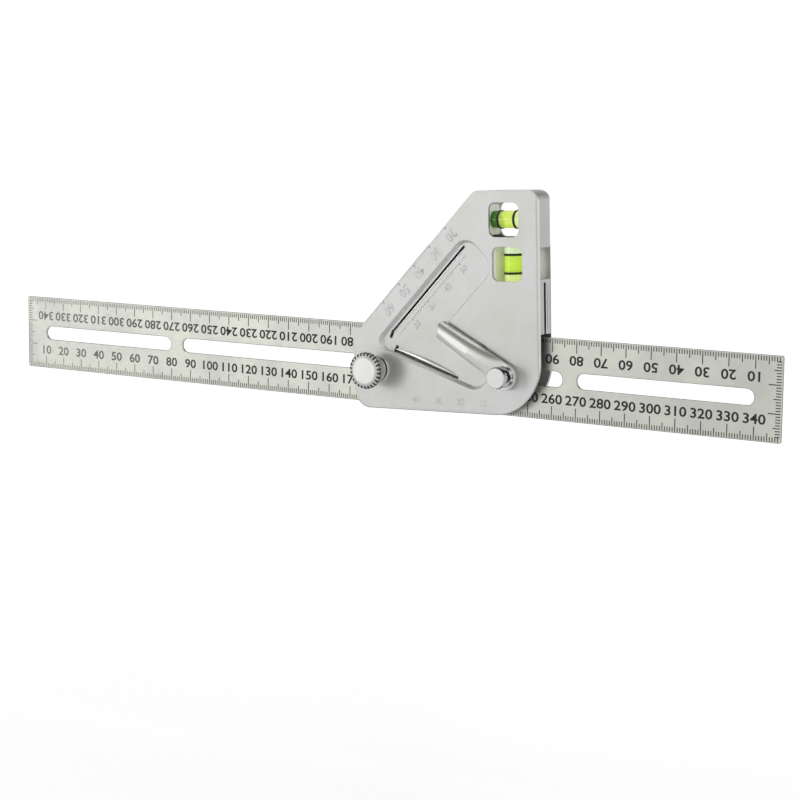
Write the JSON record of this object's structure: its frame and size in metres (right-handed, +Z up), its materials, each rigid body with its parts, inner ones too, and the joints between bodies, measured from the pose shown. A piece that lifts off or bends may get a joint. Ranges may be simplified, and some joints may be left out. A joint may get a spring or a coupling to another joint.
{
  "type": "sliding bevel",
  "caption": "Sliding bevel with a folded sheet stock, slotted scale blade, lever clamp, thumbscrew and spirit vials for setting and copying angles.",
  "frame": {"origin": "on the stock's base edge: the middle of the front plate's straight lower edge, midway through the sheet", "axes": "+X along the stock's base edge towards its folded wall and the long way of the tool, +Y through the tool from the front plate to the back plate, +Z up from the base edge to the vials"},
  "size_m": [0.3509, 0.0206, 0.0869],
  "materials": {
    "stock_steel": "satin bead-blasted sheet",
    "blade_steel": "satin with blackened etched scale",
    "bolt_steel": "zinc plated",
    "guide_brass": "turned",
    "washer_nylon": "natural nylon",
    "lever_chrome": "satin to bright chrome plate",
    "cap_steel": "satin",
    "knob_nickel": "satin nickel with straight knurl",
    "vial_acrylic": "clear polished acrylic",
    "vial_liquid": "yellow-green dyed spirit",
    "ring_black": "black reading rings",
    "plug_plastic": "moulded",
    "holder_plastic": "moulded, off white"
  },
  "bodies": {
    "stock": {"stock_body": "stock_steel", "pivot_bolt": "bolt_steel", "bolt_washer_front": "bolt_steel", "bolt_washer_rear": "bolt_steel", "threaded_bush": "lever_chrome", "plumb_vial_carrier": "holder_plastic", "level_vial_tube": "vial_acrylic", "level_vial_liquid": "vial_liquid", "level_vial_plug_left": "plug_plastic", "level_vial_ring_left": "ring_black", "level_vial_saddle_left": "holder_plastic", "level_vial_plug_right": "plug_plastic", "level_vial_ring_right": "ring_black", "level_vial_saddle_right": "holder_plastic", "plumb_vial_tube": "vial_acrylic", "plumb_vial_liquid": "vial_liquid", "plumb_vial_plug_bottom": "plug_plastic", "plumb_vial_ring_bottom": "ring_black", "plumb_vial_saddle_bottom": "holder_plastic", "plumb_vial_plug_top": "plug_plastic", "plumb_vial_ring_top": "ring_black", "plumb_vial_saddle_top": "holder_plastic"},
    "swing": {"slot_guide_front": "guide_brass", "slot_guide_rear": "guide_brass", "friction_washer_front": "washer_nylon", "friction_washer_rear": "washer_nylon"},
    "blade": {"blade": "blade_steel"},
    "lever": {"lever_arm": "lever_chrome", "lever_nut": "lever_chrome", "lever_cap": "cap_steel"},
    "pad": {"pressure_pad": "washer_nylon"},
    "knob": {"thumb_knob": "knob_nickel", "thumbscrew": "bolt_steel"}
  },
  "joints": [
    {"name": "blade_swing", "type": "hinge", "parent": "stock", "child": "swing", "pos_m": [0.033, 0.0041, 0.0145], "axis": [0, -1, 0], "range_deg": [-42.9, 42.1]},
    {"name": "blade_slide", "type": "slide", "parent": "swing", "child": "blade", "axis": [0.9993, 0, -0.0366], "range_m": [-0.014, 0.15]},
    {"name": "lever_turn", "type": "hinge", "parent": "stock", "child": "lever", "pos_m": [0.033, 0.0041, 0.0145], "axis": [0, -1, 0], "range_deg": [-62, 30]},
    {"name": "pad_travel", "type": "slide", "parent": "stock", "child": "pad", "axis": [0, -1, 0], "range_m": [0, 0.00105]},
    {"name": "knob_turn", "type": "hinge", "parent": "pad", "child": "knob", "pos_m": [-0.0244, 0.0041, 0.015], "axis": [0, -1, 0], "range_deg": [0, 540]}
  ],
  "couplings": [
    {"joint": "knob_turn", "follows": "pad_travel", "rad_per_m": 8975.9}
  ]
}
